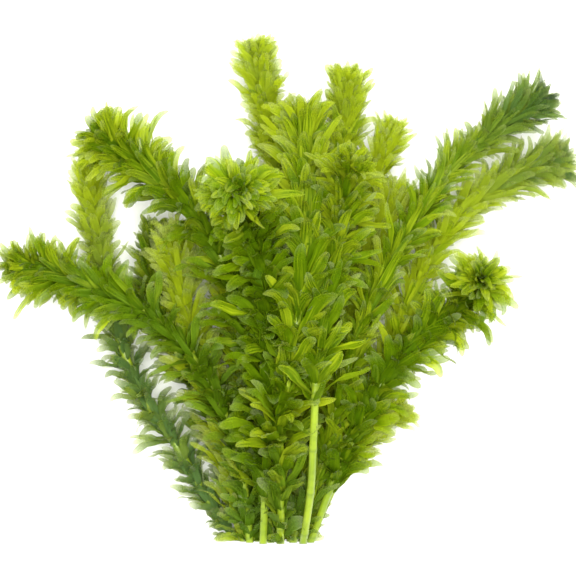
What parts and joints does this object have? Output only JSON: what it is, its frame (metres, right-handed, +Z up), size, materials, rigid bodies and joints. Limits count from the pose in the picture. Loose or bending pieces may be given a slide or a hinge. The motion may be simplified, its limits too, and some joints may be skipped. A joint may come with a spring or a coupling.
{
  "type": "brazilian waterweed bunch",
  "caption": "Cut bunch of leafy waterweed shoots that fan out from a narrow neck of cut stems, lying on a flat surface.",
  "frame": {"origin": "middle of the bunch's box, on the surface that it lies on", "axes": "+X across the fan of shoots, +Y from the cut ends towards the tips, +Z up from the surface"},
  "size_m": [0.2288, 0.205, 0.079],
  "materials": {
    "dark_green": "thin fresh leaf and stem tissue, slightly see-through, with a damp satin sheen",
    "leaf_green": "thin fresh leaf and stem tissue, slightly see-through, with a damp satin sheen",
    "olive_green": "thin fresh leaf and stem tissue, slightly see-through, with a damp satin sheen",
    "bright_green": "thin fresh leaf and stem tissue, slightly see-through, with a damp satin sheen",
    "yellow_green": "thin fresh leaf and stem tissue, slightly see-through, with a damp satin sheen"
  },
  "bodies": {
    "root": {"left_outer_shoot": "dark_green", "left_back_shoot": "dark_green", "left_inner_shoot": "yellow_green", "left_low_shoot": "olive_green", "left_high_shoot": "leaf_green", "middle_back_shoot": "leaf_green", "rosette_shoot": "bright_green", "tall_left_shoot": "yellow_green", "front_shoot": "bright_green", "floor_shoot": "dark_green", "tall_middle_shoot": "bright_green", "bare_stem_shoot": "leaf_green", "yellow_shoot": "yellow_green", "right_inner_shoot": "leaf_green", "right_high_shoot": "dark_green", "right_middle_shoot": "bright_green", "right_rosette_shoot": "olive_green", "right_low_shoot": "yellow_green"}
  },
  "joints": []
}
